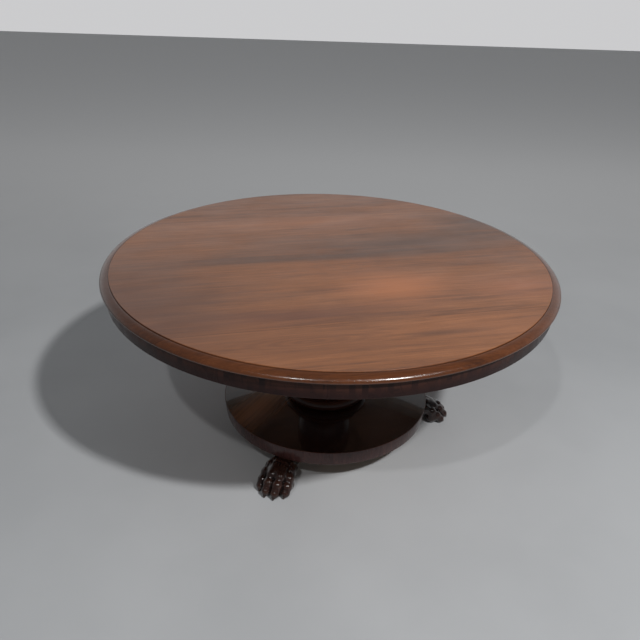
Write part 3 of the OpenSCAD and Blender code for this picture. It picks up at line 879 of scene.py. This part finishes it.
def paw_distance(at):
    """Distance field of a lion's paw."""
    wide = at * np.array((1, 0.78, 1))
    body = capsule(wide, (296, 0, 42), (330, 0, 40), 29, 28)
    pad = capsule(at, (338, -30, 20), (338, 30, 20), 20, 20)
    pad = merge(pad, capsule(at, (362, -14, 14), (362, 14, 14), 19, 19), 8)
    body = merge(body, pad, 10)
    for side in (-1, 1):
        for outer in (False, True):
            bones = toe_bones(side, outer)
            toe = None
            for (a, radius_a), (b, radius_b) in zip(bones, bones[1:]):
                bone = capsule(at, a, b, radius_a, radius_b)
                toe = bone if toe is None else merge(toe, bone, 2.5)
            body = merge(body, merge(toe, nail(at, *bones[-1]), 1.2), 4.5)
        body = merge(body, capsule(at, (296, side * 22, 58), (303, side * 26, 59), 8, 8), 5)
    band = [(307, -40, 32), (311, -34, 52), (314, -14, 68), (314, 14, 68), (311, 34, 52), (307, 40, 32)]
    for a, b in zip(band, band[1:]):
        body = merge(body, capsule(at, a, b, 3.6, 3.6), 4)
    heel = np.max(np.abs(at - np.array((266, 0, 52))) - np.array((30, 27, 22)), axis=-1)
    body = merge(body, heel, 4)
    hair = np.sin(at[..., 1] * 0.75) * np.sin(at[..., 0] * 0.16 - 0.6)
    hair *= np.clip((334 - at[..., 0]) / 14, 0, 1) * np.clip((at[..., 0] - 318) / 6, 0, 1)
    body = body + 0.8 * hair
    body = np.maximum(body, at[..., 2] - platform_low / MM)
    return np.maximum(body, -at[..., 2])


def surface_net(distance, low, high, step):
    """Quad mesh of a distance field's zero surface: one vertex per crossed cell."""
    axes = [np.arange(low[i], high[i] + step, step) for i in range(3)]
    field = distance(np.stack(np.meshgrid(*axes, indexing="ij"), axis=-1))
    inside = field < 0
    total = np.zeros(field.shape + (3,))
    count = np.zeros(field.shape)
    quads = []
    for axis in range(3):
        crossed = np.argwhere(np.diff(inside, axis=axis))
        crossed = crossed[(crossed > 0).all(axis=1)]
        ahead = crossed.copy()
        ahead[:, axis] += 1
        value_a, value_b = field[tuple(crossed.T)], field[tuple(ahead.T)]
        point = crossed.astype(float)
        point[:, axis] += value_a / (value_a - value_b)
        u, v = (axis + 1) % 3, (axis + 2) % 3
        cells = []
        for du, dv in ((0, 0), (1, 0), (1, 1), (0, 1)):
            cell = crossed.copy()
            cell[:, u] -= du
            cell[:, v] -= dv
            np.add.at(total, tuple(cell.T), point)
            np.add.at(count, tuple(cell.T), 1)
            cells.append(np.ravel_multi_index(tuple(cell.T), field.shape))
        quad = np.stack(cells, axis=1)
        outward = value_a < 0
        quad[~outward] = quad[~outward][:, ::-1]
        quads.append(quad)
    quads = np.concatenate(quads)
    used, flat = np.unique(quads, return_inverse=True)
    points = total.reshape(-1, 3)[used] / count.reshape(-1)[used][:, None]
    return points * step + np.array(low, float), flat.reshape(quads.shape)


def make_paws():
    points, quads = surface_net(paw_distance, paw_low, paw_high, carving_step)
    bend = -6 * paw_distance(points)
    for offset in np.vstack([np.eye(3), -np.eye(3)]) * edge_probe:
        bend = bend + paw_distance(points + offset)
    edge = np.clip(bend / edge_probe ** 2 * edge_gain, -1, 1)
    for name, degrees in paw_directions.items():
        mesh = bpy.data.meshes.new(name + "_carved")
        turn = np.array(Matrix.Rotation(math.radians(degrees), 3, "Z"))
        mesh.from_pydata((points * MM @ turn.T).tolist(), [], quads.tolist())
        mesh.attributes.new("edge", "FLOAT", "POINT").data.foreach_set("value", edge.astype(np.float32))
        carving = mesh.attributes.new("carving", "FLOAT_VECTOR", "POINT")
        carving.data.foreach_set("vector", (points * MM + degrees * 0.01).astype(np.float32).ravel())
        mesh.materials.append(carved_material)
        mesh.validate()
        piece = link_mesh(name + "_carved", mesh)
        tidy_normals(piece)
        finish_shading(piece.data, carved_smooth_angle)
        ready(piece, "stand", "carved_mahogany", name)


# ---------- plain joinery and metal ----------

def softened(node, width, material, body, slot):
    """A CAD part with its sharp edges eased."""
    bm = bmesh.new()
    bm.from_mesh(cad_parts[node].data)
    bmesh.ops.remove_doubles(bm, verts=bm.verts, dist=same_spot)
    bmesh.ops.dissolve_limit(bm, angle_limit=math.radians(1), verts=bm.verts, edges=bm.edges)
    sharp = [e for e in bm.edges if len(e.link_faces) == 2 and e.calc_face_angle() > math.radians(30)]
    bmesh.ops.bevel(bm, geom=sharp, offset=width, segments=2, profile=0.6, affect="EDGES",
                    clamp_overlap=True)
    bmesh.ops.recalc_face_normals(bm, faces=bm.faces)
    mesh = bpy.data.meshes.new(node + "_eased")
    bm.to_mesh(mesh)
    bm.free()
    mesh.materials.append(material)
    finish_shading(mesh)
    return ready(link_mesh(node + "_eased", mesh), body, slot, node)


def dress(node, material):
    """A CAD part that stays as it is gets its material."""
    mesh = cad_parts[node].data
    mesh.materials.clear()
    mesh.materials.append(material)


def solids_of(node):
    """The points of each separate solid of a CAD node."""
    bm = bmesh.new()
    bm.from_mesh(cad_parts[node].data)
    bmesh.ops.remove_doubles(bm, verts=bm.verts, dist=same_spot)
    waiting = set(bm.verts)
    solids = []
    while waiting:
        front, solid = [waiting.pop()], []
        while front:
            vert = front.pop()
            solid.append(tuple(vert.co))
            others = {edge.other_vert(vert) for edge in vert.link_edges} & waiting
            waiting -= others
            front.extend(others)
        solids.append(np.array(solid))
    bm.free()
    return solids


def make_screw_tree():
    """Slotted countersunk wood screws: one on each point, turned at random about its own axis."""
    tree, given, result = geometry_tree("wood_screws", {
        "Aim": "Vector", "Head radius": "Float", "Shank radius": "Float", "Length": "Float",
        "Slot width": "Float", "Slot depth": "Float", "Seed": "Int"})
    shank_r = given["Shank radius"]
    head = put(tree, "GeometryNodeMeshCone", {
        "Vertices": 40, "Radius Top": shank_r, "Radius Bottom": given["Head radius"],
        "Depth": minus(tree, given["Head radius"], shank_r)}).outputs["Mesh"]
    slot_size = combine(tree, {0: times(tree, given["Head radius"], 2.4), 1: given["Slot width"],
                               2: times(tree, given["Slot depth"], 2.0)})
    slot = put(tree, "GeometryNodeMeshCube", {"Size": slot_size}).outputs["Mesh"]
    slotted = put(tree, "GeometryNodeMeshBoolean", {"Mesh 1": head, "Mesh 2": slot},
                  operation="DIFFERENCE").outputs["Mesh"]
    shank_l = minus(tree, given["Length"], given["Slot depth"])
    shank = put(tree, "GeometryNodeMeshCone", {
        "Vertices": 20, "Radius Top": times(tree, shank_r, 0.35),
        "Radius Bottom": times(tree, shank_r, 0.80), "Depth": shank_l}).outputs["Mesh"]
    thread_l = times(tree, shank_l, 0.7)
    thread_line = put(tree, "GeometryNodeCurveSpiral", {
        "Resolution": 16, "Rotations": over(tree, thread_l, shank_r), "Height": thread_l,
        "Start Radius": times(tree, shank_r, 0.78), "End Radius": times(tree, shank_r, 0.50)}).outputs[0]
    ridge = put(tree, "GeometryNodeCurvePrimitiveCircle", {
        "Resolution": 4, "Radius": times(tree, shank_r, 0.2)}).outputs["Curve"]
    thread = put(tree, "GeometryNodeCurveToMesh", {
        "Curve": thread_line, "Profile Curve": ridge, "Fill Caps": True}).outputs[0]
    below_slot = combine(tree, {2: given["Slot depth"]})
    below_head = combine(tree, {2: times(tree, shank_l, 0.26)})
    screw = joined(tree, slotted, shifted(tree, shank, below_slot), shifted(tree, thread, below_head))
    aimed = put(tree, "FunctionNodeAlignRotationToVector", {"Vector": given["Aim"]}, axis="Z").outputs[0]
    spin = put(tree, "FunctionNodeRandomValue", {"Max": math.pi, "Seed": given["Seed"]}, data_type="FLOAT")
    about = put(tree, "FunctionNodeAxisAngleToRotation", {
        "Axis": (0, 0, 1), "Angle": spin.outputs["Value"]}).outputs[0]
    spun = put(tree, "FunctionNodeRotateRotation", {"Rotation": aimed, "Rotate By": about},
               rotation_space="LOCAL").outputs[0]
    return close_tree(tree, on_points(tree, given["Geometry"], screw, spun), given, result)


screw_tree = make_screw_tree()


def make_screws(node, aim, sizes, material, body, slot):
    """Screws at the CAD's places; sizes are head radius, shank radius, slot width and slot depth."""
    heads, lengths = [], []
    for solid in solids_of(node):
        along = solid @ np.array(aim)
        heads.append(solid[along < along.min() + 0.1 * MM].mean(axis=0))
        lengths.append(along.max() - along.min())
    mesh = bpy.data.meshes.new(node + "_heads")
    mesh.from_pydata([tuple(head) for head in sorted(heads, key=tuple)], [], [])
    piece = grow(node + "_slotted", mesh, screw_tree, {
        "Aim": aim, "Head radius": sizes[0], "Shank radius": sizes[1], "Slot width": sizes[2],
        "Slot depth": sizes[3], "Length": min(lengths), "Seed": len(heads), "Material": material})
    ready(piece, body, slot, node)


def make_block_tree():
    """The ring of short curved blocks behind the frieze, each a little apart from the next."""
    tree, given, result = geometry_tree("frieze_blocks", {
        "Count": "Int", "Start": "Float", "Gap": "Float", "Inner": "Float", "Outer": "Float",
        "Low": "Float", "Height": "Float"})
    flat = put(tree, "GeometryNodeMeshGrid", {
        "Size X": 1.0, "Size Y": 1.0, "Vertices X": 37, "Vertices Y": 4}).outputs["Mesh"]
    share = split(tree, own_position(tree))
    pitch = over(tree, 2 * math.pi, given["Count"])
    sweep = minus(tree, pitch, over(tree, given["Gap"], given["Outer"]))
    angle = times(tree, plus(tree, share[0], 0.5), sweep)
    width = minus(tree, given["Outer"], given["Inner"])
    inwards = times(tree, plus(tree, share[1], 0.5), width)
    radius = plus(tree, given["Inner"], inwards)
    marked = marked_with(tree, flat, "run", times(tree, angle, given["Outer"]))
    bent = moved_to(tree, marked, on_circle(tree, radius, angle, given["Low"]))
    up = combine(tree, {2: given["Height"]})
    raised = put(tree, "GeometryNodeExtrudeMesh", {
        "Mesh": bent, "Offset": up, "Offset Scale": 1.0, "Individual": False}, mode="FACES").outputs["Mesh"]
    block = welded(tree, joined(tree, raised, bent))
    place = own_position(tree)
    rise = plus(tree, vector_length(tree, stretch(tree, place, (1, 1, 0))), split(tree, place)[2])
    wrap = combine(tree, {0: stored(tree, "run"), 1: rise})
    mapped = marked_with(tree, block, "UVMap", wrap, "FLOAT2", "CORNER")
    points = put(tree, "GeometryNodePoints", {"Count": given["Count"]}).outputs[0]
    number = put(tree, "GeometryNodeInputIndex").outputs[0]
    around = plus(tree, times(tree, number, pitch), given["Start"])
    rotation = put(tree, "FunctionNodeEulerToRotation", {0: combine(tree, {2: around})}).outputs[0]
    ring = on_points(tree, points, mapped, rotation)
    numbered = marked_with(tree, ring, "board", number, domain="INSTANCE")
    return close_tree(tree, numbered, given, result)


def make_frieze_blocks():
    """One ring of eight blocks, in the places of the CAD's eight segments."""
    nodes = ["frieze_segment_%d" % number for number in range(1, 9)]
    radii = np.concatenate([np.linalg.norm(solid[:, :2], axis=1) for solid in solids_of(nodes[0])])
    half_gap_angle = 0.0004
    piece = grow("frieze_blocks", bpy.data.meshes.new("frieze_blocks_start"), make_block_tree(), {
        "Count": len(nodes), "Start": grain + half_gap_angle, "Gap": 0.5 * MM,
        "Inner": float(radii.min()), "Outer": float(radii.max()), "Low": frieze_low,
        "Height": board_low - frieze_low, "Material": block_material})
    ready(piece, "tip_top", "softwood", *nodes)


def make_knob():
    """A small turned brass knob on its stem."""
    low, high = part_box("catch_knob")
    ball_r, stem_r = (high.x - low.x) / 2, 2.5 * MM
    middle = low.z + ball_r
    outline = ([(0, high.z), (stem_r, high.z), (stem_r, middle + 12 * MM)]
               + arc((stem_r, middle + 10.5 * MM), 1.5 * MM, 90, -90, 9)
               + [(stem_r, middle + 8.4 * MM), (3.2 * MM, middle + 7.6 * MM)]
               + arc((0, middle), ball_r, 62, -90, 25))
    knob = turned("catch_knob_turned", outline, brass_material, steps=64)
    knob.data.transform(Matrix.Translation(((low.x + high.x) / 2, (low.y + high.y) / 2, 0)))
    ready(knob, "bolt", "brass", "catch_knob")


def make_joinery():
    for side in ("left", "right"):
        softened("bearer_" + side, 1.2 * MM, bearer_material, "tip_top", "plain_mahogany")
        softened("platform_batten_" + side, 1.5 * MM, bearer_material, "stand", "plain_mahogany")
        dress("pivot_pin_" + side, iron_material)
    softened("pivot_block", 2.5 * MM, bearer_material, "stand", "plain_mahogany")
    for place in ("front", "middle", "back"):
        dress("platform_board_" + place, core_material)
    for place in ("top", "foot"):
        dress("column_%s_wedge" % place, core_material)
    softened("catch_plate", 0.4 * MM, brass_material, "tip_top", "brass")
    softened("catch_bolt", 0.8 * MM, brass_material, "bolt", "brass")
    softened("keeper_plate", 0.3 * MM, brass_material, "stand", "brass")
    make_knob()
    make_frieze_blocks()
    up = (0.0, 0.0, 1.0)
    inwards = (math.sin(grain), -math.cos(grain), 0.0)
    large = (5.5 * MM, 2.5 * MM, 1.2 * MM, 1.4 * MM)
    small = (3.4 * MM, 1.6 * MM, 0.8 * MM, 0.9 * MM)
    make_screws("bearer_screws", up, large, iron_material, "tip_top", "iron")
    make_screws("batten_screws", up, large, iron_material, "stand", "iron")
    make_screws("paw_screws", up, large, iron_material, "stand", "iron")
    make_screws("catch_screws", up, small, brass_material, "tip_top", "brass")
    make_screws("keeper_screws", inwards, small, brass_material, "stand", "brass")


# ---------- floor and light ----------

# the room is dim in front of the table and pale behind it
room_front = (0.12, 0.125, 0.13, 1)
room_back = (0.60, 0.60, 0.61, 1)
# the floor's two near greys, and its paler grey behind the table, which is painted light that makes up for
# the lamps' falloff
floor_near = ((0.42, 0.43, 0.44, 1), (0.47, 0.48, 0.49, 1))
floor_far_painted_light = (0.80, 0.80, 0.80, 1)
# each lamp's place, size and power
lamps = {
    "key": ((1.79, -2.49, 3.74), 0.24, 150),
    "second": ((-0.75, -2.80, 3.40), 0.12, 26),
}


def make_stage():
    bpy.ops.mesh.primitive_plane_add(size=24)
    floor = bpy.context.object
    floor.name = "floor"
    material, tree, shader = new_material("floor")
    at = from_object(tree)
    tone = ramp(tree, noise(tree, at, 1.5, 5.0), 0.3, 0.7)
    near = blend(tree, tone, *floor_near)
    # painted light: the floor turns paler further back, where the lamps light it less
    away = ramp(tree, split(tree, at)[1], 0.3, 3.5)
    feed(tree, shader, {"Base Color": blend(tree, away, near, floor_far_painted_light), "Roughness": 0.6})
    floor.data.materials.append(material)

    world = bpy.data.worlds.new("room")
    world.use_nodes = True
    tree = world.node_tree
    way = split(tree, put(tree, "ShaderNodeTexCoord").outputs["Generated"])
    behind = times(tree, ramp(tree, way[1], -0.15, 0.75), ramp(tree, way[2], 0.75, 0.2))
    feed(tree, tree.nodes["Background"], {"Color": blend(tree, behind, room_front, room_back)})
    bpy.context.scene.world = world
    bpy.context.scene.view_settings.view_transform = "Standard"

    for name, (place, size, power) in lamps.items():
        lamp = bpy.data.objects.new(name, bpy.data.lights.new(name, "AREA"))
        bpy.context.collection.objects.link(lamp)
        lamp.data.size = size
        lamp.data.energy = power
        lamp.location = place
        aim = Vector((0, 0, table_h / 2)) - Vector(place)
        lamp.rotation_euler = aim.to_track_quat("-Z", "Y").to_euler()


make_top_boards()
make_frieze()
make_platform()
make_column()
make_paws()
make_joinery()
make_stage()
